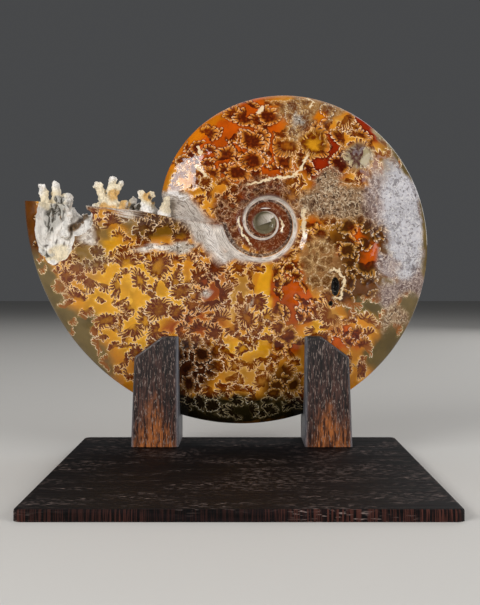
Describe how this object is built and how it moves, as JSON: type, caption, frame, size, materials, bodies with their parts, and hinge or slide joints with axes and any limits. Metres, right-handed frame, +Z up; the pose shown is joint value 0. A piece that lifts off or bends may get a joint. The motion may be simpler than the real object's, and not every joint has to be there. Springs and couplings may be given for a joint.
{
  "type": "polished ammonite fossil on stand",
  "caption": "Polished coiled ammonite fossil, broken at its large end, held upright by slotted wooden posts on a thin rectangular wooden base.",
  "frame": {"origin": "centre of the base board's underside", "axes": "+X to the right seen from the front, -Y towards the front, +Z up"},
  "size_m": [0.1504, 0.1242, 0.133],
  "materials": {
    "polished_calcite": "polished",
    "dark_rosewood": "satin",
    "rosewood": "satin"
  },
  "bodies": {
    "root": {"ammonite": "polished_calcite", "base_plate": "dark_rosewood", "left_upright": "rosewood", "right_upright": "rosewood"}
  },
  "joints": []
}
